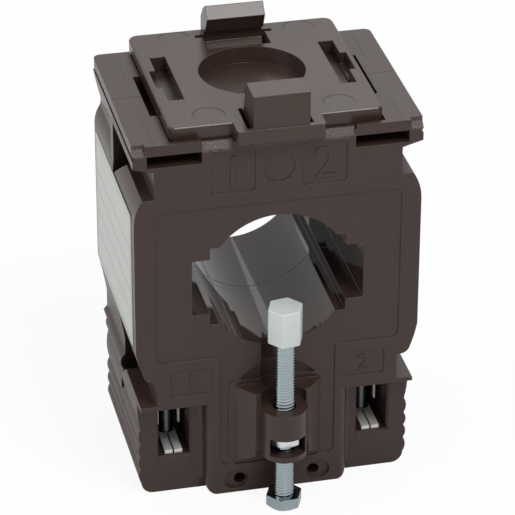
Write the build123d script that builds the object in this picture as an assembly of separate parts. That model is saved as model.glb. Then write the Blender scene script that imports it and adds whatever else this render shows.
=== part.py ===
from build123d import *
import math
import os

os.makedirs("parts", exist_ok=True)

# Current transformer for a 35 mm rail, shown rail foot up. Millimetres, +Z up.
# X runs across the front face and Y into the depth. The shells meet at Y = 0,
# the window's centre line is X = 0 and the flat base is Z = 0.

# Housing: the body's width drives the ring, the window and the height
body_width = 70.0
front_depth = 26.0
rear_depth = 24.7
wall_front = 5.0
wall_rear = 4.0
wall_side = 2.0
ring_floor_z = 26.45
foot_height = 6.5
half_width = body_width / 2
front_y = -front_depth
rear_y = rear_depth
cavity_front_y = front_y + wall_front
cavity_rear_y = rear_y - wall_rear
ring_cavity_radius = half_width - wall_side
window_z = ring_floor_z + ring_cavity_radius
foot_top_z = window_z + ring_cavity_radius + foot_height
over = 1.0

# Front half outline: notches, shoulders and the foot's wings
notch_wall_x = half_width - 5.0
upper_notch_z = foot_top_z - 14.25
upper_notch_top_z = foot_top_z - 7.05
wing_tip_under_z = foot_top_z - 5.65
shoulder_x = half_width - 2.1
shoulder_mid = (half_width - 0.5, foot_top_z - 17.75)
side_top_z = foot_top_z - 21.35
side_low_z = 43.0
hip_mid = (half_width - 0.65, 39.9)
hip_end = (half_width - 1.7, 36.6)
heel_mid = (half_width - 2.5, 35.25)
heel_x = half_width - 4.0
lower_notch_top_z = 34.6
lower_notch_z = 27.6
pocket_run = 7.0
pocket_drop = 5.6

# Rear half outline: one continuous flare, filled beside the seam
rear_hip_mid = (half_width - 1.05, 38.2)
rear_hip_end = (half_width - 2.05, 32.4)
rear_side_top_z = foot_top_z - 18.15
rear_shoulder_mid = (half_width - 0.45, foot_top_z - 15.75)
rear_neck_low = (half_width - 1.5, foot_top_z - 13.55)
rear_neck_mid = (half_width - 1.7, foot_top_z - 12.45)
rear_neck_high = (half_width - 1.6, foot_top_z - 11.25)
rear_flare_mid = (half_width - 0.75, foot_top_z - 7.75)
rear_wing_z = foot_top_z - 3.75
neck_web = (half_width - 2.4, half_width - 0.2)
neck_web_y = (3.0, 6.0)
wing_corner = 1.8

# Thumb ribs on the sides of the terminal section
rib_valley_x = half_width - 1.55
rib_crest_x = half_width - 0.95
rib_top_x = half_width - 0.85
notch_lip_x = half_width - 0.9
front_valleys_z = [7.2, 10.9, 14.5, 18.8]
rear_valleys_z = [6.8, 10.6, 14.7, 23.4]
base_corner = 3.0

# Terminal faces, set back beside the centre column
column_half = half_width - 17.1
terminal_setback = 4.3
terminal_top_z = 26.5
column_round = 2.5
column_cove = 1.6
column_foot_round = 2.8

# Window for the primary conductor: two bar steps and a round hole
bar_slot = (body_width - 27.85, 14.9)
middle_slot = (body_width - 36.6, 21.1)
round_radius = half_width - 17.2
sleeve_wall = 1.6
sleeve_joint_y = 2.5
sleeve_gap = 0.1
collar_wall = 2.4
collar_reach = 3.5

# Core and winding round the window
winding_gap_degrees = 24.0
winding_clearance = 0.2
winding_build = 1.4
winding_edge = 1.2
core_clearance = 0.1

# Shallow panels and mark frames in the front face
panel_depth = 0.3
panel_half = half_width - 4.8
panel_top_z = foot_top_z - 17.95
panel_step_z = 39.55
panel_neck_half = column_half - 3.55
panel_bottom_z = 8.25
panel_round = 2.0
pad_half = column_half - 5.6
pad_top_z = 32.4
pad_bottom_z = 9.6
mark_depth = 0.3
mark_round = 1.2
foot_mark = (11.1, foot_top_z - 14.5, 10.9, 11.0)
terminal_mark = (half_width - 13.5, 29.75, 10.6, 7.2)
disc_z = foot_top_z - 8.85
disc_radius = 3.85

# Clamp boss for the conductor clamping screw
screw_reach = 7.2
screw_y = front_y - screw_reach
boss_radius = 5.65
boss_bottom_z = 15.2
boss_top_z = 28.4
block_top_z = 31.0
block_root_half = 10.9
block_nose_half = 6.65
block_nose = 5.1
block_foot_z = 9.0
block_foot_rise = 4.0
spot_face_radius = 5.7
channel_half = 4.1
channel_depth = 3.0
scoop_radius = 11.7
scoop_z = 25.3
scoop_depth = 1.0
nut_slot_z = 16.6
nut_slot_half = 4.35
nut_play = 0.1

# M5 clamp screw, thin nut and nylon cap
m5_radius = 2.5
m5_clearance = 0.35
m5_thread_gap = 0.05
m5_point = 0.6
head_flats = 8.0
head_height = 3.5
head_bottom_z = 0.1
head_edge = 0.35
hex_turn = 6.0
screw_length = 50.0
nut_height = 2.7
nut_clearance = 0.15
nut_top_z = 21.25
cap_flats = 7.8
cap_height = 9.4
cap_bottom_z = 46.9
cap_turn = 9.2
cap_edge = 0.9
cap_bore_clearance = 0.06
cap_bore_gap = 0.1
head_top_z = head_bottom_z + head_height
tip_z = head_top_z + screw_length

# Alignment holes at the foot of the column
pin_hole_x = column_half - 8.57
pin_hole_z = 3.5
pin_hole_radius = 1.5
pin_hole_depth = 8.0
pin_pocket = (5.9, 5.2)
pin_pocket_x = column_half - 7.5
pin_pocket_z = 3.75
pin_pocket_round = 2.4
pin_pocket_depth = 0.8

# Terminal chambers, one on each side, open at both ends
chamber_half = 3.925
chamber_x = half_width - 9.875
chamber_bottom_z = 10.2
chamber_top_z = 23.7
entry_frame = 0.35
contact_thickness = 1.2
contact_half = 3.5
contact_margin = 3.0
contact_gap = 0.1
lug_thickness = 0.5
lug_drop = 8.7
lug_half_gap = 2.4
lug_length = 1.2
lug_gap = 0.3
terminal_screw_inset = 10.9
m4_radius = 2.0
m4_clearance = 0.08
m4_length = 15.0
terminal_travel = 9.0
well_clearance = 0.3
m4_head_radius = 3.3
m4_head_height = 2.4
m4_slot = 0.8
m4_slot_depth = 1.1
m4_cross = 3.6
driver_hole_radius = 3.6
plate_half = 2.2
plate_front = 10.0
plate_back = 4.0
plate_thickness = 1.0
plate_slit = 0.45
plate_rest_z = 10.3
head_gap = 0.02
lead_radius = 0.6
lead_clearance = 0.35
screw_in = terminal_setback + terminal_screw_inset
terminal_head_top_z = plate_rest_z - head_gap
well_top_z = terminal_head_top_z + m4_length + terminal_travel + well_clearance

# Rail foot: wings, end slots, and the recess that takes the adapter
wing_slot = (half_width - 16.5, half_width - 3.4)
wing_slot_z = (foot_top_z - 5.8, foot_top_z - 2.75)
wing_slot_depth = 12.0
side_groove_z = foot_top_z - 3.65
side_groove_height = 1.2
side_groove_depth = 0.5
corner_pocket = (3.0, 1.4, 2.4)
corner_pocket_floor = 1.1
foot_recess_z = foot_top_z - 0.85
foot_recess_front = 1.3
foot_center_half = half_width - 16.3
foot_bevel = 1.6
foot_bevel_end = 0.3
dish_depth = 0.7
clip_well_half_y = 10.7
clip_well_outer_x = half_width - 7.3
clip_well_inner_x = half_width - 12.0
clip_well_floor_z = foot_top_z - 5.25
clip_ledge_z = foot_top_z - 3.05
clip_undercut = 1.3

# Rail adapter
adapter_gap = 0.05
adapter_side_gap = 0.2
adapter_half_width = half_width - 9.25
adapter_thickness = 3.6
adapter_front_y = -23.4
adapter_rear_y = 27.7
adapter_rear_round = 2.4
adapter_front_round = 1.4
adapter_edge = 0.3
adapter_disc_y = 2.7
adapter_disc_radius = adapter_half_width - 12.8
slot_inner_x = adapter_half_width - 6.65
slot_outer_x = adapter_half_width - 2.85
slot_step_x = adapter_half_width - 1.3
slot_y = (-9.2, 14.3)
slot_step_y = (-2.2, 7.2)
slot_step_floor = 0.55
adapter_bottom_z = foot_recess_z + adapter_gap
adapter_top_z = adapter_bottom_z + adapter_thickness

# Latch tongue at the adapter's front and fixed hook at its rear
tongue_half = 10.6
tongue_reach = 5.0
tongue_round = 0.8
tongue_slit = 1.1
tongue_slit_back_y = -16.7
latch_half = 6.8
latch_drop = 0.85
latch_top = (-20.7, adapter_top_z + 8.5)
latch_foot = (-18.0, adapter_top_z + 0.65)
catch_half = 5.0
catch_back = (-18.5, adapter_top_z + 4.25)
catch_tip = (-10.7, adapter_top_z + 2.15)
rail_front_y = -11.7
rail_rear_y = 23.9
rail_lip = 1.3
hook_half = 7.3
hook_nose = (22.3, adapter_top_z + 1.6)
hook_tip = (20.2, adapter_top_z + 5.8)
hook_crest = (22.7, adapter_top_z + 8.5)
hook_shoulder = (24.9, adapter_top_z + 7.0)
hook_back_z = adapter_top_z + 3.6
hook_root = (2.6, 1.9)
hook_window = (7.8, 16.1)
hook_slit_half = 9.6
hook_slit_y = (22.9, 24.4)
leg_thickness = 1.4
leg_half_y = 4.4
leg_root = 0.5
leg_barb = 0.8
leg_barb_height = 1.5
leg_bottom_gap = 0.3
leg_gap = 0.15

# Rating label on the left side
label_length = front_depth + rear_depth - 5.3
label_height = side_top_z - side_low_z + 1.3
label_z = side_low_z + 0.35 + label_height / 2
label_y = 0.2
label_round = 1.2
label_thickness = 0.15

sides = (-1, 1)


def side_plane(y):
    """Sketch plane across the depth: local x is X and local y is Z."""
    return Plane(origin=(0, y, 0), x_dir=(1, 0, 0), z_dir=(0, -1, 0))


def prism(sketch, y0, y1):
    """Extrude a front-view sketch from y0 to y1."""
    return extrude(side_plane(y1) * sketch, amount=y1 - y0)


def upright(sketch, z0, z1):
    """Extrude a plan-view sketch from z0 to z1."""
    return extrude(Pos(0, 0, z0) * sketch, amount=z1 - z0)


def profile(sketch, x0, x1):
    """Extrude a side-view sketch, local x being Y and local y being Z, from x0 to x1."""
    plane = Plane(origin=(x0, 0, 0), x_dir=(0, 1, 0), z_dir=(1, 0, 0))
    return extrude(plane * sketch, amount=x1 - x0)


def block(x0, x1, y0, y1, z0, z1):
    return Pos((x0 + x1) / 2, (y0 + y1) / 2, (z0 + z1) / 2) * Box(x1 - x0, y1 - y0, z1 - z0)


def rounded(width, height, radius, x=0.0, z=0.0):
    return Pos(x, z) * RectangleRounded(width, height, radius)


def polygon(points):
    return make_face(Polyline(*points, close=True))


def mirrored_face(curves):
    """Close half an outline, drawn on +X, against its mirror image."""
    half = Curve() + curves
    return make_face(half + mirror(half, Plane.YZ))


def both_sides(shapes):
    return shapes + [mirror(shape, Plane.YZ) for shape in shapes]


def cut_all(solid, cutters):
    for cutter in cutters:
        solid -= cutter
    return solid


def at_terminal(shape, side, outward):
    """Move a shape drawn for the right front, with its face at depth 0, to any terminal."""
    if side < 0:
        shape = mirror(shape, Plane.YZ)
    if outward > 0:
        shape = mirror(shape, Plane.XZ)
    return Pos(0, rear_y if outward > 0 else front_y) * shape


def rib_arcs(valleys, top_x, top_z):
    """Thumb ribs from the base corner up to top_z, as shallow arcs between valleys."""
    arcs = [RadiusArc((rib_valley_x - base_corner, 0), (rib_valley_x, base_corner), -base_corner)]
    low = base_corner
    for z in valleys:
        arcs.append(ThreePointArc((rib_valley_x, low), (rib_crest_x, (low + z) / 2), (rib_valley_x, z)))
        low = z
    arcs.append(ThreePointArc((rib_valley_x, low), (rib_top_x, (low + top_z) / 2), (top_x, top_z)))
    return arcs


def front_outline():
    curves = [Line((0, 0), (rib_valley_x - base_corner, 0))]
    curves += rib_arcs(front_valleys_z, notch_lip_x, lower_notch_z)
    curves += [
        Polyline((notch_lip_x, lower_notch_z), (notch_wall_x, lower_notch_z),
                 (notch_wall_x, lower_notch_top_z), (heel_x, lower_notch_top_z)),
        ThreePointArc((heel_x, lower_notch_top_z), heel_mid, hip_end),
        ThreePointArc(hip_end, hip_mid, (half_width, side_low_z)),
        Line((half_width, side_low_z), (half_width, side_top_z)),
        ThreePointArc((half_width, side_top_z), shoulder_mid, (shoulder_x, upper_notch_z)),
        Polyline((shoulder_x, upper_notch_z), (notch_wall_x, upper_notch_z),
                 (notch_wall_x, upper_notch_top_z), (half_width, wing_tip_under_z),
                 (half_width, foot_top_z), (0, foot_top_z)),
    ]
    return mirrored_face(curves)


def rear_outline():
    curves = [Line((0, 0), (rib_valley_x - base_corner, 0))]
    curves += rib_arcs(rear_valleys_z, rear_hip_end[0], lower_notch_z)
    curves += [
        Line((rear_hip_end[0], lower_notch_z), rear_hip_end),
        ThreePointArc(rear_hip_end, rear_hip_mid, (half_width, side_low_z)),
        Line((half_width, side_low_z), (half_width, rear_side_top_z)),
        ThreePointArc((half_width, rear_side_top_z), rear_shoulder_mid, rear_neck_low),
        ThreePointArc(rear_neck_low, rear_neck_mid, rear_neck_high),
        ThreePointArc(rear_neck_high, rear_flare_mid, (half_width, rear_wing_z)),
        Polyline((half_width, rear_wing_z), (half_width, foot_top_z), (0, foot_top_z)),
    ]
    return mirrored_face(curves)


def window_outline(grow=0.0):
    outline = Rectangle(bar_slot[0] + 2 * grow, bar_slot[1] + 2 * grow)
    outline += Rectangle(middle_slot[0] + 2 * grow, middle_slot[1] + 2 * grow)
    outline += Circle(round_radius + grow)
    return Pos(0, window_z) * outline


def hexagon(flats, turn):
    return Rot(0, 0, turn) * RegularPolygon(flats / 2, 6, major_radius=False)


def terminal_cutters(outward):
    """Cut beside the centre column, with a rounded edge, a cove and a rounded foot."""
    edge_x = column_half - column_round
    cove_x = column_half + column_cove
    cove_y = terminal_setback - column_cove
    plan = make_face(Curve() + [
        Line((edge_x, -over), (edge_x, 0)),
        CenterArc((edge_x, column_round), column_round, -90, 90),
        Line((column_half, column_round), (column_half, cove_y)),
        CenterArc((cove_x, cove_y), column_cove, 180, -90),
        Polyline((cove_x, terminal_setback), (half_width + over, terminal_setback),
                 (half_width + over, -over), (edge_x, -over)),
    ])
    foot_x = column_half - column_foot_round
    corner = make_face(Curve() + [
        CenterArc((foot_x, column_foot_round), column_foot_round, -90, 90),
        Polyline((column_half, column_foot_round), (column_half + over, column_foot_round),
                 (column_half + over, -over), (foot_x, -over), (foot_x, 0)),
    ])
    cutters = [upright(plan, -over, terminal_top_z), prism(corner, -over, terminal_setback)]
    return [at_terminal(cutter, side, outward) for cutter in cutters for side in sides]


def chamber_cutters(outward, depth):
    """Wire entry, chamber, contact bar groove, driver hole and screw well on each side."""
    height = chamber_top_z - chamber_bottom_z
    middle = (chamber_top_z + chamber_bottom_z) / 2
    opening = Pos(chamber_x, middle) * Rectangle(2 * chamber_half, height)
    frame = Pos(chamber_x, middle) * Rectangle(2 * (chamber_half + entry_frame), height + 2 * entry_frame)
    roof = Pos(chamber_x, chamber_top_z) * Rectangle(
        2 * (contact_half + contact_gap), 2 * (contact_thickness + contact_gap))
    cutters = [
        prism(opening, terminal_setback - over, depth),
        prism(frame, terminal_setback - over, terminal_setback + entry_frame),
        prism(roof, terminal_setback + contact_margin, depth),
        Pos(chamber_x, screw_in) * upright(Circle(driver_hole_radius), -over, chamber_bottom_z + over),
        Pos(chamber_x, screw_in) * upright(Circle(m4_radius + well_clearance), chamber_top_z, well_top_z),
    ]
    return [at_terminal(cutter, side, outward) for cutter in cutters for side in sides]


def lead_cutters():
    """Channels along the seam for the winding's ends."""
    slot = 2 * (lead_radius + lead_clearance)
    height = window_z - chamber_top_z
    channel = Pos(chamber_x, chamber_top_z + height / 2) * Rectangle(slot, height)
    return both_sides([prism(channel, -slot / 2, slot / 2)])


def ring_cavity(y0, y1):
    ring = Pos(0, window_z) * Circle(ring_cavity_radius)
    return prism(ring, y0, y1) - prism(window_outline(sleeve_wall), y0 - over, y1 + over)


def foot_cutters():
    """Recess for the adapter, dish, clip wells and side grooves of the foot."""
    recess_half = adapter_half_width + adapter_side_gap
    recess = block(-recess_half, recess_half, front_y + foot_recess_front, rear_y + over,
                   foot_recess_z, foot_top_z + over)
    disc = Pos(0, adapter_disc_y) * Circle(adapter_disc_radius)
    dish = upright(disc, foot_recess_z - dish_depth, foot_recess_z + over)
    y0, y1 = -clip_well_half_y, clip_well_half_y
    undercut_x = clip_well_inner_x - clip_undercut
    deep_x = half_width - side_groove_depth
    groove = polygon([
        (half_width + over, side_groove_z),
        (deep_x, side_groove_z),
        (deep_x, side_groove_z + side_groove_height / 2),
        (half_width, side_groove_z + side_groove_height),
        (half_width + over, side_groove_z + side_groove_height),
    ])
    return [recess, dish] + both_sides([
        block(clip_well_inner_x, clip_well_outer_x, y0, y1, clip_well_floor_z, foot_top_z + over),
        block(undercut_x, clip_well_outer_x, y0, y1, clip_well_floor_z, clip_ledge_z),
        prism(groove, front_y - over, rear_y + over),
    ])


def end_slots(face_y, inward):
    """Slots in one end face of the foot's wings."""
    y0, y1 = sorted((face_y - inward * over, face_y + inward * wing_slot_depth))
    return both_sides([block(*wing_slot, y0, y1, *wing_slot_z)])


def corner_pockets():
    """Small sloped pockets at the front outer corners of the wings."""
    width, depth, height = corner_pocket
    wedge = polygon([
        (front_y - over, foot_top_z + over),
        (front_y + depth, foot_top_z + over),
        (front_y + depth, foot_top_z - corner_pocket_floor),
        (front_y, foot_top_z - height),
        (front_y - over, foot_top_z - height),
    ])
    return both_sides([profile(wedge, half_width - width, half_width + over)])


def wing_corners():
    """Rounded rear corners of the wings, above the side groove."""
    x, y = half_width - wing_corner, rear_y - wing_corner
    size = wing_corner + over
    plan = Pos(x + size / 2, y + size / 2) * Rectangle(size, size) - Pos(x, y) * Circle(wing_corner)
    return both_sides([upright(plan, side_groove_z, foot_top_z + over)])


def pocket_cutters():
    """The drop at the rear end of each side pocket of the front shell."""
    cutters = []
    for floor_z in (upper_notch_z, lower_notch_z):
        fall = polygon([
            (-pocket_run, floor_z), (0, floor_z - pocket_drop), (over, floor_z - pocket_drop),
            (over, floor_z + over), (-pocket_run, floor_z + over),
        ])
        cutters.append(profile(fall, notch_wall_x, half_width + over))
    return both_sides(cutters)


def panel_outline():
    wide_height = panel_top_z - panel_step_z
    wide = rounded(2 * panel_half, wide_height, panel_round, z=panel_top_z - wide_height / 2)
    neck_height = panel_step_z + 2 * panel_round - panel_bottom_z
    neck = rounded(2 * panel_neck_half, neck_height, panel_round, z=panel_bottom_z + neck_height / 2)
    pad = rounded(2 * pad_half, pad_top_z - pad_bottom_z, panel_round, z=(pad_top_z + pad_bottom_z) / 2)
    return wide + neck - pad


def mark_cutters():
    """Panels, mark frames, the round mark and the scooped top of the pad."""
    cutters = [prism(panel_outline(), front_y - over, front_y + panel_depth)]
    for x, z, width, height in (foot_mark, terminal_mark):
        frame = rounded(width, height, mark_round, x, z + height / 2)
        cutters += both_sides([prism(frame, front_y - over, front_y + mark_depth)])
    scoop = Pos(0, scoop_z) * Circle(scoop_radius) - Pos(0, pad_top_z / 2) * Rectangle(body_width, pad_top_z)
    cutters.append(prism(scoop, front_y - over, front_y + scoop_depth))
    cutters.append(prism(Pos(0, disc_z) * Circle(disc_radius), front_y - over, front_y + mark_depth))
    return cutters


def clamp_boss():
    """Block with slanted cheeks, the half-round boss on it and the cut over the boss."""
    nose_y = front_y - block_nose
    cheeks = polygon([
        (-block_root_half, front_y + over), (-block_root_half, front_y), (-block_nose_half, nose_y),
        (block_nose_half, nose_y), (block_root_half, front_y), (block_root_half, front_y + over),
    ])
    base = upright(cheeks, block_foot_z, block_top_z)
    nose_foot_z = block_foot_z + block_foot_rise
    slope = polygon([
        (front_y, block_foot_z), (nose_y, nose_foot_z), (nose_y - over, nose_foot_z),
        (nose_y - over, block_foot_z - over), (front_y, block_foot_z - over),
    ])
    base -= profile(slope, -block_root_half - over, block_root_half + over)
    base -= block(-block_nose_half, block_nose_half, nose_y - over, front_y, 0, boss_bottom_z)
    plan = Pos(0, screw_y) * Circle(boss_radius)
    plan += Pos(0, (screw_y + front_y) / 2) * Rectangle(2 * boss_radius, screw_reach)
    boss = base + upright(plan, boss_bottom_z, block_top_z)
    boss -= Pos(0, screw_y) * upright(Circle(spot_face_radius), boss_top_z, block_top_z + over)
    half = block_nose_half + over
    return boss - block(-half, half, screw_y - boss_radius - over, screw_y, boss_top_z, block_top_z + over)


def boss_cutters():
    """Screw hole, nut seat with its side mouth, and the channel above the boss."""
    seat_top_z = nut_top_z + nut_play
    hole = upright(Circle(m5_radius + m5_clearance), -over, block_top_z + over)
    seat = upright(hexagon(head_flats + 2 * nut_clearance, hex_turn), nut_slot_z, seat_top_z)
    mouth = block(-nut_slot_half, nut_slot_half, screw_y - boss_radius - over, screw_y, nut_slot_z, seat_top_z)
    channel = block(-channel_half, channel_half, screw_y, front_y + channel_depth, block_top_z, window_z)
    return [Pos(0, screw_y) * hole, Pos(0, screw_y) * seat, mouth, channel]


def pin_cutters():
    pocket = rounded(*pin_pocket, pin_pocket_round, pin_pocket_x, pin_pocket_z)
    hole = Pos(pin_hole_x, pin_hole_z) * Circle(pin_hole_radius)
    return both_sides([
        prism(pocket, front_y - over, front_y + pin_pocket_depth),
        prism(hole, front_y - over, front_y + pin_hole_depth),
    ])


def foot_front_cutters():
    """Room for the adapter's tongue, and the bevels beside it."""
    ledge = block(-foot_center_half, foot_center_half, front_y - over, front_y + foot_recess_front + over,
                  foot_recess_z, foot_top_z + over)
    bevel = polygon([
        (front_y - over, foot_recess_z), (front_y + foot_bevel, foot_recess_z),
        (front_y, foot_recess_z - foot_bevel), (front_y - over, foot_recess_z - foot_bevel),
    ])
    inner = tongue_half + foot_bevel_end
    return [ledge] + both_sides([profile(bevel, inner, foot_center_half - foot_bevel_end)])


def front_shell():
    shell = prism(front_outline(), front_y, 0)
    shell = cut_all(shell, terminal_cutters(-1) + pocket_cutters() + mark_cutters())
    shell += clamp_boss()
    shell = cut_all(shell, boss_cutters() + pin_cutters() + chamber_cutters(-1, front_depth) + lead_cutters())
    shell = cut_all(shell, foot_cutters() + end_slots(front_y, 1) + corner_pockets() + foot_front_cutters())
    shell -= ring_cavity(cavity_front_y, over)
    shell += prism(window_outline(sleeve_wall), cavity_front_y, sleeve_joint_y)
    return shell - prism(window_outline(), front_y - over, sleeve_joint_y + over)


def rear_shell():
    shell = prism(rear_outline(), 0, rear_y)
    web_in, web_out = neck_web
    web = polygon([(web_in, 0), (web_out, 0), (web_out, neck_web_y[0]), (web_in, neck_web_y[1])])
    for solid in both_sides([upright(web, rear_side_top_z, rear_wing_z)]):
        shell += solid
    shell += prism(window_outline(collar_wall), rear_y - over, rear_y + collar_reach)
    shell = cut_all(shell, terminal_cutters(1) + chamber_cutters(1, rear_depth) + lead_cutters())
    shell = cut_all(shell, foot_cutters() + end_slots(rear_y, -1) + wing_corners())
    shell -= ring_cavity(-over, cavity_rear_y)
    shell -= prism(window_outline(sleeve_wall), -over, sleeve_joint_y + sleeve_gap)
    return shell - prism(window_outline(), -over, rear_y + collar_reach + over)


def adapter_plate():
    """Flat plate with rounded corners, the tongue, the round hole, slots and windows."""
    length = adapter_rear_y - adapter_front_y
    plan = Pos(0, (adapter_rear_y + adapter_front_y) / 2) * Rectangle(2 * adapter_half_width, length)
    corners = plan.vertices().sort_by(Axis.Y)
    plan = fillet(corners[2:], adapter_rear_round)
    plan = fillet(plan.vertices().sort_by(Axis.Y)[:2], adapter_front_round)
    plate = chamfer(upright(plan, adapter_bottom_z, adapter_top_z).faces().sort_by(Axis.Z)[-1].edges(),
                    adapter_edge)
    tongue_front = adapter_front_y - tongue_reach
    tongue = Pos(0, tongue_front + tongue_reach / 2) * Rectangle(2 * tongue_half, tongue_reach + tongue_round)
    tongue = fillet(tongue.vertices().sort_by(Axis.Y)[:2], tongue_round)
    plate += upright(tongue, adapter_bottom_z, adapter_top_z)
    low, high = adapter_bottom_z - over, adapter_top_z + over
    window_half, window_front = hook_window
    cutters = [
        upright(Pos(0, adapter_disc_y) * Circle(adapter_disc_radius), low, high),
        block(-window_half, window_half, window_front, rail_rear_y, low, high),
    ]
    cutters += both_sides([
        block(slot_inner_x, slot_outer_x, *slot_y, low, high),
        block(slot_outer_x, slot_step_x, *slot_step_y, adapter_bottom_z + slot_step_floor, high),
        block(hook_half, hook_slit_half, *hook_slit_y, low, high),
        block(latch_half, latch_half + tongue_slit, tongue_front + over, tongue_slit_back_y, low, high),
    ])
    return cut_all(plate, cutters)


def rail_adapter():
    """The plate with its latch, the hidden catch under it, the rear hook and the clip legs."""
    tongue_front = adapter_front_y - tongue_reach
    lip_z = adapter_top_z + rail_lip
    latch = polygon([
        (tongue_front, adapter_bottom_z - latch_drop), (tongue_front, latch_top[1]), latch_top, latch_foot,
        (latch_foot[0], adapter_bottom_z), (front_y - adapter_gap, adapter_bottom_z),
        (front_y - adapter_gap, adapter_bottom_z - latch_drop),
    ])
    catch = polygon([
        (catch_back[0], adapter_bottom_z), catch_back, catch_tip, (catch_tip[0], lip_z),
        (rail_front_y, lip_z), (rail_front_y, adapter_bottom_z),
    ])
    root_run, root_rise = hook_root
    hook = polygon([
        (rail_rear_y - root_run, adapter_bottom_z), (rail_rear_y, adapter_bottom_z + root_rise),
        (rail_rear_y, lip_z), hook_nose, hook_tip, hook_crest, hook_shoulder,
        (adapter_rear_y, hook_back_z), (adapter_rear_y, adapter_bottom_z),
    ])
    inner = clip_well_inner_x + leg_gap
    barb_z = clip_ledge_z - leg_gap
    leg = polygon([
        (inner, adapter_bottom_z + leg_root), (inner, barb_z), (inner - leg_barb, barb_z),
        (inner, barb_z - leg_barb_height), (inner, clip_well_floor_z + leg_bottom_gap),
        (inner + leg_thickness, clip_well_floor_z + leg_bottom_gap),
        (inner + leg_thickness, adapter_bottom_z + leg_root),
    ])
    adapter = adapter_plate()
    for sketch, half in ((latch, latch_half), (catch, catch_half), (hook, hook_half)):
        adapter += profile(sketch, -half, half)
    for solid in both_sides([prism(leg, -leg_half_y, leg_half_y)]):
        adapter += solid
    return adapter


def hex_body(flats, turn, z0, z1, low_edge=0.0, high_edge=0.0):
    """Hexagon with its corners turned off at the ends that have an edge height."""
    flat, corner = flats / 2, flats / math.sqrt(3)
    low = [(flat, z0), (corner, z0 + low_edge)] if low_edge else [(corner, z0)]
    high = [(corner, z1 - high_edge), (flat, z1)] if high_edge else [(corner, z1)]
    turned = revolve(Plane.XZ * polygon([(0, z0)] + low + high + [(0, z1)]), Axis.Z)
    return upright(hexagon(flats, turn), z0, z1) & turned


def clamp_screw():
    head = hex_body(head_flats, hex_turn, head_bottom_z, head_top_z, low_edge=head_edge)
    shank = upright(Circle(m5_radius), head_top_z, tip_z)
    shank = chamfer(shank.edges().sort_by(Axis.Z)[-1], m5_point)
    return Pos(0, screw_y) * (head + shank)


def clamp_nut():
    low = nut_top_z - nut_height
    hole = upright(Circle(m5_radius + m5_thread_gap), low - over, nut_top_z + over)
    return Pos(0, screw_y) * (upright(hexagon(head_flats, hex_turn), low, nut_top_z) - hole)


def clamp_cap():
    top = cap_bottom_z + cap_height
    cap = hex_body(cap_flats, cap_turn, cap_bottom_z, top, cap_edge, cap_edge)
    bore = upright(Circle(m5_radius + cap_bore_clearance), cap_bottom_z - over, tip_z + cap_bore_gap)
    return Pos(0, screw_y) * (cap - bore)


def ring_solid(inner, outer, y0, y1):
    return prism(Pos(0, window_z) * (Circle(outer) - Circle(inner)), y0, y1)


def winding_section(shrink):
    """Inner and outer radius and the two end planes, shrunk from the full winding."""
    corners = [math.hypot(w / 2 + sleeve_wall, h / 2 + sleeve_wall) for w, h in (bar_slot, middle_slot)]
    inner = max(corners + [round_radius + sleeve_wall]) + winding_clearance + shrink
    outer = ring_cavity_radius - winding_clearance - shrink
    low = cavity_front_y + winding_clearance + shrink
    high = cavity_rear_y - winding_clearance - shrink
    return inner, outer, low, high


def core_ring():
    return ring_solid(*winding_section(winding_build + core_clearance))


def winding():
    """Taped winding with rounded-off edges over the core, open at the bottom."""
    inner, outer, low, high = winding_section(0)
    body = ring_solid(inner, outer, low, high)
    body = chamfer(body.edges().filter_by(GeomType.CIRCLE), winding_edge)
    body -= ring_solid(*winding_section(winding_build))
    reach = 2 * ring_cavity_radius
    spread = reach * math.tan(math.radians(winding_gap_degrees / 2))
    gap = polygon([(0, window_z), (-spread, window_z - reach), (spread, window_z - reach)])
    return body - prism(gap, low - over, high + over)


def lead_wire(side):
    """Winding end, straight down from the winding to the contact bar."""
    outer = winding_section(0)[1]
    wire = Pos(side * chamber_x, 0) * upright(Circle(lead_radius), chamber_top_z + contact_thickness, window_z)
    return wire - prism(Pos(0, window_z) * Circle(outer), front_y, rear_y)


def contact_bar(side):
    """Bar through the chamber's roof, with two lugs beside each screw."""
    end_gap = terminal_setback + contact_margin + contact_gap
    top = chamber_top_z + contact_thickness
    bar = block(chamber_x - contact_half, chamber_x + contact_half, front_y + end_gap, rear_y - end_gap,
                chamber_top_z, top)
    if side < 0:
        bar = mirror(bar, Plane.YZ)
    lug_back = screw_in - m4_radius - lug_gap
    for outward in sides:
        for lug in sides:
            x0, x1 = sorted(chamber_x + lug * x for x in (lug_half_gap, lug_half_gap + lug_thickness))
            solid = block(x0, x1, lug_back - lug_length, lug_back, chamber_top_z - lug_drop, top)
            bar += at_terminal(solid, side, outward)
        hole = upright(Circle(m4_radius + m4_clearance), chamber_top_z - over, top + over)
        bar -= at_terminal(Pos(chamber_x, screw_in) * hole, side, outward)
    return bar


def clamp_plate(side, outward):
    """Wire plate carried on the screw: two fingers reach to the wire entry."""
    top = plate_rest_z + plate_thickness
    plate = block(chamber_x - plate_half, chamber_x + plate_half, screw_in - plate_front,
                  screw_in + plate_back, plate_rest_z, top)
    plate -= block(chamber_x - plate_slit / 2, chamber_x + plate_slit / 2,
                   screw_in - plate_front - over, screw_in, plate_rest_z - over, top + over)
    hole = upright(Circle(m4_radius + m4_clearance), plate_rest_z - over, top + over)
    return at_terminal(plate - Pos(chamber_x, screw_in) * hole, side, outward)


def terminal_screw(side, outward):
    top = terminal_head_top_z
    low = top - m4_head_height
    head = upright(Circle(m4_head_radius), low, top)
    slot_z = low + m4_slot_depth / 2
    head -= Pos(0, 0, slot_z) * Box(2 * m4_head_radius + over, m4_slot, m4_slot_depth)
    head -= Pos(0, 0, slot_z) * Box(m4_slot, m4_cross, m4_slot_depth)
    screw = head + upright(Circle(m4_radius), top, top + m4_length)
    return at_terminal(Pos(chamber_x, screw_in) * screw, side, outward)


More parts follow.
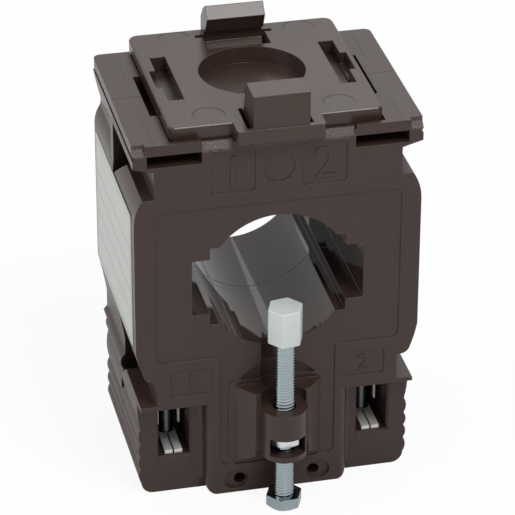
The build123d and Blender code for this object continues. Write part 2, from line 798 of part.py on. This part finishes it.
def side_label():
    plane = Plane(origin=(-half_width, label_y, label_z), x_dir=(0, -1, 0), z_dir=(-1, 0, 0))
    return extrude(plane * RectangleRounded(label_length, label_height, label_round), amount=label_thickness)


def write(name, solid):
    solid.label = name
    export_step(solid, "parts/" + name + ".step")


write("front_shell", front_shell())
write("rear_shell", rear_shell())
write("rail_adapter", rail_adapter())
write("side_label", side_label())
write("clamp_screw", clamp_screw())
write("clamp_nut", clamp_nut())
write("clamp_cap", clamp_cap())
write("core_ring", core_ring())
write("secondary_winding", winding())
for side, hand in ((-1, "left"), (1, "right")):
    write("contact_bar_" + hand, contact_bar(side))
    write("lead_wire_" + hand, lead_wire(side))
    for outward, place in ((-1, "front"), (1, "rear")):
        write("clamp_plate_" + hand + "_" + place, clamp_plate(side, outward))
        write("terminal_screw_" + hand + "_" + place, terminal_screw(side, outward))
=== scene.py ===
import bpy
import math
from mathutils import Matrix, Vector


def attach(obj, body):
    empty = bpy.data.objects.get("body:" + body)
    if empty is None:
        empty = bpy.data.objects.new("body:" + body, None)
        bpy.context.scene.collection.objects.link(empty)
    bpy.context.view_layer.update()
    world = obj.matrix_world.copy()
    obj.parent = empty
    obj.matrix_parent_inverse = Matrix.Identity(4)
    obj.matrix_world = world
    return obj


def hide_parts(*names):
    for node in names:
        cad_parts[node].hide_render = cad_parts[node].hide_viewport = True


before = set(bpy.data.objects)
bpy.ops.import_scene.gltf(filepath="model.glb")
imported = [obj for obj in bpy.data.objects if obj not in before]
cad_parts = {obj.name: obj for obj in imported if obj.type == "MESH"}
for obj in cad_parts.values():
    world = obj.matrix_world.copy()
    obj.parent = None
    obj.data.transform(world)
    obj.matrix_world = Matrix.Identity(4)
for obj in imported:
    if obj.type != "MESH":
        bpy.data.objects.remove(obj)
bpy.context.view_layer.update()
print("frame loaded:", len(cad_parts), "nodes")


def mm(value):
    return value / 1000.0


# Modelling helpers

def deselectAll():
    if bpy.context.mode != "OBJECT":
        bpy.ops.object.mode_set(mode="OBJECT")
    bpy.ops.object.select_all(action="DESELECT")


def makeActive(piece):
    deselectAll()
    piece.select_set(True)
    bpy.context.view_layer.objects.active = piece


def applyPlace(piece):
    makeActive(piece)
    bpy.ops.object.transform_apply(location=True, rotation=True, scale=True)


def moveTo(piece, place):
    piece.location = place
    applyPlace(piece)


def addModifier(piece, kind, settings):
    modifier = piece.modifiers.new(kind.title(), kind)
    for key, value in settings.items():
        setattr(modifier, key, value)
    makeActive(piece)
    bpy.ops.object.modifier_apply(modifier=modifier.name)


def bevelEdges(piece, width, segments, degrees=25):
    addModifier(piece, "BEVEL", {"width": width, "segments": segments, "limit_method": "ANGLE",
                                 "angle_limit": math.radians(degrees), "harden_normals": False})


def cutWith(piece, tool, operation="DIFFERENCE"):
    addModifier(piece, "BOOLEAN", {"object": tool, "operation": operation, "solver": "EXACT"})
    bpy.data.objects.remove(tool)


def smoothByAngle(piece, degrees=35):
    makeActive(piece)
    bpy.ops.object.shade_smooth_by_angle(angle=math.radians(degrees))


def joinPieces(name, pieces):
    deselectAll()
    for piece in pieces:
        piece.select_set(True)
    bpy.context.view_layer.objects.active = pieces[0]
    bpy.ops.object.join()
    joined = bpy.context.view_layer.objects.active
    joined.name = name
    joined.data.name = name
    return joined


def addCylinder(name, radius, low, high, sides=64, turn=0.0):
    deselectAll()
    bpy.ops.mesh.primitive_cylinder_add(vertices=sides, radius=radius, depth=high - low,
                                        location=(0, 0, (low + high) / 2),
                                        rotation=(0, 0, math.radians(turn)))
    piece = bpy.context.object
    piece.name = name
    applyPlace(piece)
    return piece


def addBlock(size, place):
    deselectAll()
    bpy.ops.mesh.primitive_cube_add(size=1.0, location=place)
    piece = bpy.context.object
    piece.scale = size
    applyPlace(piece)
    return piece


def dress(piece, finish, node, body):
    piece.data.materials.clear()
    piece.data.materials.append(finishes[finish])
    if node:
        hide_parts(node)
    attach(piece, body)


# Camera, fitted to the photograph

cameraSettings = {
    "place": (-148.335, -640.146, 425.876),
    "yaw": 0.22901,
    "pitch": -0.51819,
    "roll": 0.00335,
    "focalPixels": 3048.55,
    "frameWidth": 515.0,
    "sensor": 36.0,
}


def addCamera():
    s = cameraSettings
    level = math.cos(s["pitch"])
    forward = Vector((math.sin(s["yaw"]) * level, math.cos(s["yaw"]) * level, math.sin(s["pitch"])))
    right = Vector((math.cos(s["yaw"]), -math.sin(s["yaw"]), 0.0))
    up = right.cross(forward)
    turnedRight = math.cos(s["roll"]) * right + math.sin(s["roll"]) * up
    turnedUp = -math.sin(s["roll"]) * right + math.cos(s["roll"]) * up
    bpy.ops.object.camera_add()
    camera = bpy.context.object
    camera.name = "photoCamera"
    camera.data.sensor_fit = "HORIZONTAL"
    camera.data.sensor_width = s["sensor"]
    camera.data.lens = s["focalPixels"] / s["frameWidth"] * s["sensor"]
    camera.data.clip_start = 0.05
    turn = Matrix((turnedRight, turnedUp, -forward)).transposed()
    place = Vector([mm(v) for v in s["place"]])
    camera.matrix_world = Matrix.Translation(place) @ turn.to_4x4()
    bpy.context.scene.camera = camera


addCamera()
print("camera placed")


# Shader maths

class Wire:
    # a shader socket that Python's operators can work on
    def __init__(self, tree, socket):
        self.tree = tree
        self.socket = socket

    def maths(self, operation, first, second=None):
        return self.tree.add("ShaderNodeMath", {"operation": operation}, {0: first, 1: second})

    def __add__(self, other):
        return self.maths("ADD", self, other)

    def __radd__(self, other):
        return self.maths("ADD", other, self)

    def __sub__(self, other):
        return self.maths("SUBTRACT", self, other)

    def __rsub__(self, other):
        return self.maths("SUBTRACT", other, self)

    def __mul__(self, other):
        return self.maths("MULTIPLY", self, other)

    def __rmul__(self, other):
        return self.maths("MULTIPLY", other, self)

    def __truediv__(self, other):
        return self.maths("DIVIDE", self, other)

    def __rtruediv__(self, other):
        return self.maths("DIVIDE", other, self)

    def __gt__(self, other):
        return self.maths("GREATER_THAN", self, other)

    def __lt__(self, other):
        return self.maths("LESS_THAN", self, other)

    def __abs__(self):
        return self.maths("ABSOLUTE", self)

    def larger(self, other):
        return self.maths("MAXIMUM", self, other)


class Tree:
    # the nodes of one material or world
    def __init__(self, owner):
        owner.use_nodes = True
        self.owner = owner
        self.nodes = owner.node_tree.nodes
        self.links = owner.node_tree.links
        self.nodes.clear()

    def add(self, kind, settings=None, inputs=None, output=0):
        node = self.nodes.new(kind)
        for key, value in (settings or {}).items():
            setattr(node, key, value)
        for key, value in (inputs or {}).items():
            if isinstance(value, Wire):
                self.links.new(value.socket, node.inputs[key])
            elif value is not None:
                node.inputs[key].default_value = value
        return Wire(self, node.outputs[output]) if node.outputs else node

    def place(self):
        return self.add("ShaderNodeTexCoord", output="Object")

    def axes(self):
        # object coordinates in millimetres
        place = self.place()
        return [self.add("ShaderNodeSeparateXYZ", inputs={0: place}, output=k) * 1000.0 for k in range(3)]

    def noise(self, scale, detail=3.0, roughness=0.55):
        inputs = {"Vector": self.place(), "Scale": scale, "Detail": detail, "Roughness": roughness}
        return self.add("ShaderNodeTexNoise", inputs=inputs)

    def ramp(self, value, low, high):
        inputs = {"Value": value, "From Min": low, "From Max": high}
        return self.add("ShaderNodeMapRange", {"interpolation_type": "SMOOTHSTEP"}, inputs)

    def distance(self, first, second):
        return self.add("ShaderNodeMath", {"operation": "SQRT"}, {0: first * first + second * second})

    def within(self, value, low, high, soft=0.05):
        return self.ramp(value, low - soft, low + soft) * (1.0 - self.ramp(value, high - soft, high + soft))

    def line(self, value, centre, width):
        return 1.0 - self.ramp(abs(value - centre), width * 0.5, width)

    def colours(self, mask, low, high):
        return self.add("ShaderNodeMix", {"data_type": "RGBA"}, {0: mask, 6: low, 7: high}, output=2)

    def bump(self, height, distance, strength, radius):
        edges = self.add("ShaderNodeBevel", {"samples": 6}, {"Radius": radius})
        inputs = {"Height": height, "Distance": distance, "Strength": strength, "Normal": edges}
        return self.add("ShaderNodeBump", inputs=inputs)

    def finish(self, shader):
        self.add("ShaderNodeOutputMaterial", inputs={"Surface": shader})
        return self.owner


def newSurface(name):
    return Tree(bpy.data.materials.new(name))


def tinted(colour, factor=1.0):
    return (*[channel * factor for channel in colour], 1.0)


# Finishes

housing = {
    "colour": (0.033, 0.0185, 0.0145), "roughness": 0.34, "grain": 2600.0, "grainDepth": 0.016, "edge": 0.22,
    "boreRadius": 23.4, "boreZ": 59.45, "boreStart": -25.5, "boreRoughness": 0.05,
    "worn": (0.085, 0.073, 0.069), "wornGrain": 2400.0, "wornSpan": (0.35, 0.7), "wornRough": 0.2,
    "cloud": 55.0, "shade": (0.88, 1.14), "cloudRough": 0.12, "lineDark": 0.35, "lineDepth": 4.0,
    "wornDepth": 5.0, "lineWidth": 0.22, "lineFrom": (8.0, 11.0), "bump": 0.6, "boreGrain": 0.05,
    "foot": (11.0, 18.5, 95.9), "corner": (31.9, 96.2), "roughFront": -24.4,
    "lineX": 29.9, "topZ": 98.8, "seamWidth": 0.16,
}


def housingFinish():
    s = housing
    t = newSurface("brownPlastic")
    x, y, z = t.axes()
    wide = abs(x)
    cloud = t.noise(s["cloud"], 4.0)
    grain = t.noise(s["grain"], 2.0)
    coarse = t.noise(s["wornGrain"], 2.0)
    radial = t.distance(x, z - s["boreZ"])
    bore = (radial < s["boreRadius"]) * (y > s["boreStart"])
    inner, outer, low = s["foot"]
    eroded = t.within(wide, inner, outer) * (z > low) * (y < s["roughFront"])
    cornerX, cornerZ = s["corner"]
    eroded = eroded.larger((wide > cornerX) * (z > cornerZ) * (y < s["roughFront"]))
    footTop = z > s["topZ"]
    wingLine = t.line(wide, s["lineX"], s["lineWidth"]) * footTop * t.ramp(abs(y + 1.0), *s["lineFrom"])
    seam = t.line(y, 0.0, s["seamWidth"])
    lowered = (wingLine * 0.6).larger(seam)
    darker, lighter = s["shade"]
    colour = t.colours(cloud, tinted(s["colour"], darker), tinted(s["colour"], lighter))
    colour = t.colours(lowered, colour, tinted(s["colour"], s["lineDark"]))
    speckle = t.ramp(coarse, *s["wornSpan"])
    colour = t.colours(eroded * speckle, colour, tinted(s["worn"]))
    roughness = s["roughness"] + (cloud - 0.5) * s["cloudRough"]
    roughness = roughness + bore * (s["boreRoughness"] - roughness) + eroded * s["wornRough"]
    height = grain * (1.0 - bore * (1.0 - s["boreGrain"]))
    height = height + eroded * coarse * s["wornDepth"] - lowered * s["lineDepth"]
    shader = t.add("ShaderNodeBsdfPrincipled", inputs={
        "Base Color": colour, "Roughness": roughness, "IOR": 1.4,
        "Normal": t.bump(height, mm(s["grainDepth"]), s["bump"], mm(s["edge"])),
    })
    return t.finish(shader)


adapter = {
    "colour": (0.038, 0.022, 0.0175), "roughness": 0.28, "grain": 1800.0, "grainDepth": 0.01, "edge": 0.3,
    "discs": [(-15.2, -18.5), (16.2, -18.6), (-14.8, 23.6), (16.4, 23.2)], "discRadius": 3.8,
    "topZ": 101.6, "ringWidth": 0.3, "ringShadeReach": (-2.0, 2.5), "ringDepth": 25.0, "cloud": 48.0,
    "shade": (0.9, 1.12), "cloudRough": 0.12, "bump": 0.6,
}


def adapterFinish():
    s = adapter
    t = newSurface("adapterPlastic")
    x, y, z = t.axes()
    cloud = t.noise(s["cloud"], 4.0)
    grain = t.noise(s["grain"], 2.0)
    ringDentsAndShade = None
    # the ejector-disc rings are real shallow dents, bumped below; their rear arcs are also coloured black as
    # painted shade of the disc edges
    for discX, discY in s["discs"]:
        away = t.distance(x - discX, y - discY)
        ringDentAndShade = t.line(away, s["discRadius"], s["ringWidth"])
        ringDentAndShade = ringDentAndShade * t.ramp(y, *[discY + reach for reach in s["ringShadeReach"]])
        ringDentsAndShade = ringDentAndShade if ringDentsAndShade is None else ringDentsAndShade.larger(ringDentAndShade)
    ringDentsAndShade = ringDentsAndShade * (z > s["topZ"])
    darker, lighter = s["shade"]
    colour = t.colours(cloud, tinted(s["colour"], darker), tinted(s["colour"], lighter))
    # painted shade: the rear ring arcs are coloured black
    colour = t.colours(ringDentsAndShade, colour, (0.0, 0.0, 0.0, 1.0))
    shader = t.add("ShaderNodeBsdfPrincipled", inputs={
        "Base Color": colour, "Roughness": s["roughness"] + (cloud - 0.5) * s["cloudRough"], "IOR": 1.4,
        "Normal": t.bump(grain - ringDentsAndShade * s["ringDepth"], mm(s["grainDepth"]), s["bump"], mm(s["edge"])),
    })
    return t.finish(shader)


def metalFinish(name, colour, roughness, edge, grain=900.0, metallic=1.0):
    t = newSurface(name)
    cloud = t.noise(grain, 3.0)
    tint = t.noise(120.0, 2.0)
    shader = t.add("ShaderNodeBsdfPrincipled", inputs={
        "Base Color": t.colours(tint, tinted(colour, 0.8), tinted(colour)),
        "Metallic": metallic,
        "Roughness": roughness + (cloud - 0.5) * 0.16,
        "Normal": t.bump(cloud, mm(0.012), 0.35, mm(edge)),
    })
    return t.finish(shader)


label = {
    "colour": (0.44, 0.45, 0.43), "ink": (0.06, 0.06, 0.065), "middle": (0.2, 61.3), "half": (22.7, 17.95),
    "border": 1.3, "rules": (-9.2, -3.4, 2.4, 8.2), "printWidth": 0.16,
}


def labelFinish():
    s = label
    t = newSurface("labelFilm")
    x, y, z = t.axes()
    across = abs(y - s["middle"][0])
    up = z - s["middle"][1]
    halfLong, halfHigh = (half - s["border"] for half in s["half"])
    frameLines = t.line(across, halfLong, s["printWidth"]) * (abs(up) < halfHigh)
    frameLines = frameLines.larger(t.line(abs(up), halfHigh, s["printWidth"]) * (across < halfLong))
    for rule in s["rules"]:
        frameLines = frameLines.larger(t.line(up, rule, s["printWidth"]) * (across < halfLong))
    cloud = t.noise(70.0, 3.0)
    colour = t.colours(cloud, tinted(s["colour"], 0.95), tinted(s["colour"], 1.05))
    shader = t.add("ShaderNodeBsdfPrincipled", inputs={
        "Base Color": t.colours(frameLines * 0.8, colour, tinted(s["ink"])),
        "Roughness": 0.5 + (cloud - 0.5) * 0.1,
        "Normal": t.bump(t.noise(900.0), mm(0.004), 0.3, mm(0.05)),
    })
    return t.finish(shader)


def nylonFinish():
    t = newSurface("nylon")
    cloud = t.noise(180.0, 3.0)
    shader = t.add("ShaderNodeBsdfPrincipled", inputs={
        "Base Color": t.colours(cloud, (0.45, 0.49, 0.48, 1), (0.54, 0.58, 0.56, 1)),
        "Roughness": 0.4 + (cloud - 0.5) * 0.1,
        "Subsurface Weight": 0.3,
        "Subsurface Radius": (mm(1.2), mm(1.1), mm(1.0)),
        "Subsurface Scale": 1.0,
        "Normal": t.bump(cloud, mm(0.02), 0.3, mm(0.2)),
    })
    return t.finish(shader)


def tapeFinish():
    t = newSurface("windingTape")
    x, y, z = t.axes()
    turn = t.add("ShaderNodeMath", {"operation": "ARCTAN2"}, {0: x, 1: z - housing["boreZ"]})
    wraps = t.add("ShaderNodeMath", {"operation": "FRACT"}, {0: turn * 9.0})
    shader = t.add("ShaderNodeBsdfPrincipled", inputs={
        "Base Color": t.colours(wraps, (0.36, 0.20, 0.04, 1), (0.50, 0.30, 0.07, 1)),
        "Roughness": 0.32,
        "Normal": t.bump(wraps, mm(0.06), 0.5, mm(0.2)),
    })
    return t.finish(shader)


finishes = {
    "brownPlastic": housingFinish(),
    "adapterPlastic": adapterFinish(),
    "labelFilm": labelFinish(),
    "nylon": nylonFinish(),
    "windingTape": tapeFinish(),
    "zincSteel": metalFinish("zincSteel", (0.35, 0.41, 0.435), 0.16, 0.05),
    "darkSteel": metalFinish("darkSteel", (0.13, 0.135, 0.14), 0.3, 0.05),
    "nutSteel": metalFinish("nutSteel", (0.74, 0.77, 0.80), 0.3, 0.1),
    "tinPlate": metalFinish("tinPlate", (0.66, 0.65, 0.63), 0.5, 0.08, metallic=0.45),
    "coreSteel": metalFinish("coreSteel", (0.33, 0.33, 0.35), 0.4, 0.1),
    "copper": metalFinish("copper", (0.72, 0.36, 0.20), 0.3, 0.05),
}
nodeFinish = {
    "front_shell": "brownPlastic", "rear_shell": "brownPlastic", "rail_adapter": "adapterPlastic",
    "side_label": "labelFilm", "clamp_screw": "zincSteel", "clamp_nut": "nutSteel", "clamp_cap": "nylon",
    "core_ring": "coreSteel", "secondary_winding": "windingTape", "lead_wire_left": "copper",
    "lead_wire_right": "copper", "contact_bar_left": "tinPlate", "contact_bar_right": "tinPlate",
}
for nodeName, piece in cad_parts.items():
    finish = nodeFinish.get(nodeName, "tinPlate" if "clamp_plate" in nodeName else "zincSteel")
    piece.data.materials.clear()
    piece.data.materials.append(finishes[finish])
print("finishes made")


# Threads and hexagons

def threadedRod(name, crest, depth, pitch, low, high, steps=32):
    # one pitch of the flank, wound up by a screw modifier and cut flat at both ends
    deselectAll()
    bpy.ops.mesh.primitive_plane_add(size=1.0)
    rod = bpy.context.object
    rod.name = name
    order = [0, 1, 3, 2]
    root = crest - depth
    flank = [(root, 0.0), (crest, 0.44), (crest, 0.56), (root, 1.0)]
    start = low - 2 * pitch
    bpy.ops.object.mode_set(mode="EDIT")
    bpy.ops.mesh.delete(type="ONLY_FACE")
    bpy.ops.mesh.select_all(action="DESELECT")
    bpy.ops.object.mode_set(mode="OBJECT")
    for index, (radius, rise) in zip(order, flank):
        rod.data.vertices[index].co = (radius, 0.0, start + rise * pitch)
    for edge in rod.data.edges:
        edge.select = set(edge.vertices) == {order[0], order[3]}
    bpy.ops.object.mode_set(mode="EDIT")
    bpy.ops.mesh.select_mode(type="EDGE")
    bpy.ops.mesh.delete(type="EDGE_FACE")
    bpy.ops.object.mode_set(mode="OBJECT")
    turns = int((high - low) / pitch) + 5
    addModifier(rod, "SCREW", {"axis": "Z", "angle": math.tau, "screw_offset": pitch, "iterations": turns,
                               "steps": steps, "render_steps": steps, "use_merge_vertices": False,
                               "use_smooth_shade": True})
    makeActive(rod)
    bpy.ops.object.mode_set(mode="EDIT")
    bpy.ops.mesh.select_mode(type="VERT")
    bpy.ops.mesh.select_all(action="SELECT")
    bpy.ops.mesh.remove_doubles(threshold=pitch * 0.02)
    for height, upper in ((low, False), (high, True)):
        bpy.ops.mesh.select_all(action="SELECT")
        bpy.ops.mesh.bisect(plane_co=(0, 0, height), plane_no=(0, 0, 1), use_fill=True,
                            clear_inner=not upper, clear_outer=upper)
    bpy.ops.mesh.select_all(action="SELECT")
    bpy.ops.mesh.normals_make_consistent(inside=False)
    bpy.ops.object.mode_set(mode="OBJECT")
    return rod


def pointedTip(rod, crest, depth, low, high):
    # turns the first threads off by a cone, as on a cut screw
    narrow = crest - depth * 1.6
    tall = (high - low) * 1.2
    deselectAll()
    bpy.ops.mesh.primitive_cone_add(vertices=64, radius1=narrow + tall, radius2=narrow, depth=tall,
                                    location=(0, 0, high - tall / 2))
    cone = bpy.context.object
    applyPlace(cone)
    cutWith(rod, cone, "INTERSECT")


def hexBlock(name, flats, low, high, turn, lowEdge, highEdge, edgeWidth, slope=30.0):
    # hexagon whose corners are turned off by a cone at the chosen ends
    corner = flats / math.sqrt(3)
    block = addCylinder(name, corner, low, high, sides=6, turn=turn + 30)
    bevelEdges(block, edgeWidth, 2)
    inner, outer = flats * 0.485, corner * 2
    rise = (outer - inner) * math.tan(math.radians(slope))
    for used, end, sign in ((lowEdge, low, 1), (highEdge, high, -1)):
        if not used:
            continue
        radii = (inner, outer) if sign > 0 else (outer, inner)
        deselectAll()
        bpy.ops.mesh.primitive_cone_add(vertices=96, radius1=radii[0], radius2=radii[1], depth=rise,
                                        location=(0, 0, end + sign * rise / 2))
        cone = bpy.context.object
        applyPlace(cone)
        cutWith(block, cone, "INTERSECT")
    return block


# Clamp screw, nut and cap

clampSet = {
    "place": (0.0, mm(-33.2), 0.0), "turn": 6.0, "flats": mm(8.0), "headLow": mm(0.1), "headHigh": mm(3.6),
    "tip": mm(53.5), "crest": mm(2.49), "depth": mm(0.46), "pitch": mm(0.8),
    "nutLow": mm(18.55), "nutHigh": mm(21.25), "nutHole": mm(2.55),
    "capFlats": mm(7.8), "capLow": mm(46.9), "capHigh": mm(56.3), "capTurn": 9.2, "capHole": mm(2.56),
    "capFloor": mm(53.6), "capRound": mm(0.3),
}


def makeClampScrew():
    s = clampSet
    head = hexBlock("clampHead", s["flats"], s["headLow"], s["headHigh"], s["turn"], True, False, mm(0.1))
    bevelEdges(head, mm(0.1), 2)
    smoothByAngle(head, 40)
    rod = threadedRod("clampThread", s["crest"], s["depth"], s["pitch"], s["headHigh"] - mm(0.2), s["tip"])
    pointedTip(rod, s["crest"], s["depth"], s["headHigh"], s["tip"])
    screw = joinPieces("clampScrew", [head, rod])
    moveTo(screw, s["place"])
    dress(screw, "zincSteel", "clamp_screw", "clamp_spindle")


def makeClampNut():
    s = clampSet
    nut = hexBlock("clampNut", s["flats"], s["nutLow"], s["nutHigh"], s["turn"], True, True, mm(0.08))
    cutWith(nut, addCylinder("nutBore", s["nutHole"], s["nutLow"] - mm(1), s["nutHigh"] + mm(1)))
    bevelEdges(nut, mm(0.08), 2, 40)
    smoothByAngle(nut, 40)
    moveTo(nut, s["place"])
    dress(nut, "nutSteel", "clamp_nut", "housing")


def makeClampCap():
    s = clampSet
    cap = addCylinder("clampCap", s["capFlats"] / math.sqrt(3), s["capLow"], s["capHigh"], sides=6,
                      turn=s["capTurn"] + 30)
    bevelEdges(cap, s["capRound"], 4)
    cutWith(cap, addCylinder("capBore", s["capHole"], s["capLow"] - mm(1), s["capFloor"]))
    bevelEdges(cap, mm(0.12), 2, 50)
    smoothByAngle(cap, 45)
    moveTo(cap, s["place"])
    dress(cap, "nylon", "clamp_cap", "clamp_slider")


makeClampScrew()
makeClampNut()
makeClampCap()
print("clamp screw, nut and cap made")


# Terminal screws, modelled once and copied

terminal = {
    "x": mm(25.125), "frontY": mm(-10.8), "rearY": mm(9.5), "headTop": mm(10.28), "headHeight": mm(2.4),
    "headRadius": mm(3.3), "length": mm(15.0), "crest": mm(1.99), "depth": mm(0.38), "pitch": mm(0.7),
    "slot": mm(0.8), "slotDepth": mm(1.1), "cross": mm(3.6),
}


def makeTerminalScrew():
    s = terminal
    low = s["headTop"] - s["headHeight"]
    head = addCylinder("terminalHead", s["headRadius"], low, s["headTop"])
    for long, wide in ((s["headRadius"] * 2.2, s["slot"]), (s["slot"], s["cross"])):
        cutWith(head, addBlock((long, wide, s["slotDepth"] * 2), (0, 0, low)))
    bevelEdges(head, mm(0.15), 3, 40)
    smoothByAngle(head, 40)
    tip = s["headTop"] + s["length"]
    rod = threadedRod("terminalThread", s["crest"], s["depth"], s["pitch"], s["headTop"] - mm(0.1), tip, 28)
    pointedTip(rod, s["crest"], s["depth"], s["headTop"], tip)
    return joinPieces("terminalScrew", [head, rod])


def placeTerminalScrews():
    pattern = makeTerminalScrew()
    for hand, side in (("left", -1), ("right", 1)):
        for end, y in (("front", terminal["frontY"]), ("rear", terminal["rearY"])):
            screw = pattern.copy()
            screw.data = pattern.data.copy()
            screw.name = "terminalScrew" + hand.title() + end.title()
            bpy.context.collection.objects.link(screw)
            moveTo(screw, (side * terminal["x"], y, 0.0))
            suffix = hand + "_" + end
            dress(screw, "darkSteel", "terminal_screw_" + suffix, "screw_" + suffix)
    bpy.data.objects.remove(pattern)


placeTerminalScrews()
print("terminal screws made")


# Raised plain numerals in the mark frames

numerals = {
    "signs": [("1", -11.1, 85.9, 8.6), ("2", 11.1, 85.9, 8.6),
              ("1", -21.5, 31.2, 4.6), ("2", 21.5, 31.2, 4.6)],
    "floorY": -25.7, "raise": 0.18, "sink": 0.02, "sizeFactor": 1.4,
}


def makeNumeral(index, sign, x, z, height):
    s = numerals
    deselectAll()
    bpy.ops.object.text_add(location=(0, 0, 0))
    piece = bpy.context.object
    piece.name = "numeral" + str(index)
    piece.data.body = sign
    piece.data.align_x = "CENTER"
    halfThick = mm(s["raise"] + s["sink"]) / 2
    piece.data.size = mm(height) * s["sizeFactor"]
    piece.data.extrude = halfThick
    piece.data.resolution_u = 6
    makeActive(piece)
    bpy.ops.object.convert(target="MESH")
    piece.rotation_euler = (math.radians(90), 0, 0)
    applyPlace(piece)
    moveTo(piece, (mm(x), mm(s["floorY"] + s["sink"]) - halfThick, mm(z)))
    makeActive(piece)
    bpy.ops.object.mode_set(mode="EDIT")
    bpy.ops.mesh.select_all(action="SELECT")
    bpy.ops.mesh.remove_doubles(threshold=mm(0.001))
    bpy.ops.mesh.normals_make_consistent(inside=False)
    bpy.ops.object.mode_set(mode="OBJECT")
    dress(piece, "brownPlastic", None, "housing")


for index, (sign, x, z, height) in enumerate(numerals["signs"]):
    makeNumeral(index, sign, x, z, height)
print("numerals made")


# Lamps, background and floor

studio = {
    "diffuseLight": 0.64,
    "softbox": {"place": (0.17, -0.42, 0.78), "size": 0.3, "power": 4.3},
    "leftLamp": {"place": (-0.80, -0.10, 0.42), "size": 0.5, "power": 2.2},
    "rearLamp": {"place": (0.30, 0.60, 0.70), "size": 0.5, "power": 0.8},
    "floorGrey": 0.8,
    "floorWhite": 0.9,
}


def addLamp(name, settings, target=(0.0, 0.0, 0.055)):
    deselectAll()
    bpy.ops.object.light_add(type="AREA", location=settings["place"])
    lamp = bpy.context.object
    lamp.name = name
    lamp.data.shape = "SQUARE"
    lamp.data.size = settings["size"]
    lamp.data.energy = settings["power"]
    aim = Vector(target) - Vector(settings["place"])
    lamp.rotation_euler = aim.to_track_quat("-Z", "Y").to_euler()


def addWorld():
    world = bpy.data.worlds.new("paleStudio")
    bpy.context.scene.world = world
    t = Tree(world)
    seen = t.add("ShaderNodeLightPath", output="Is Camera Ray")
    for kind in ("Is Glossy Ray", "Is Transmission Ray"):
        seen = seen.larger(t.add("ShaderNodeLightPath", output=kind))
    strength = seen * (1.0 - studio["diffuseLight"]) + studio["diffuseLight"]
    background = t.add("ShaderNodeBackground", inputs={"Color": (1, 1, 1, 1), "Strength": strength})
    t.add("ShaderNodeOutputWorld", inputs={"Surface": background})


def addFloor():
    deselectAll()
    bpy.ops.mesh.primitive_plane_add(size=3.0, location=(0, 0, mm(-0.05)))
    floor = bpy.context.object
    floor.name = "floor"
    t = newSurface("paleFloor")
    seen = t.add("ShaderNodeLightPath", output="Is Camera Ray")
    plain = t.add("ShaderNodeBsdfDiffuse", inputs={"Color": tinted((studio["floorGrey"],) * 3)})
    white = t.add("ShaderNodeEmission", inputs={"Color": (1, 1, 1, 1), "Strength": 1.0})
    mix = t.add("ShaderNodeMixShader", inputs={0: seen * studio["floorWhite"], 1: plain, 2: white})
    floor.data.materials.append(t.finish(mix))


addWorld()
addFloor()
for lampName in ("softbox", "leftLamp", "rearLamp"):
    addLamp(lampName, studio[lampName])
bpy.context.scene.view_settings.view_transform = "Standard"
print("studio made")
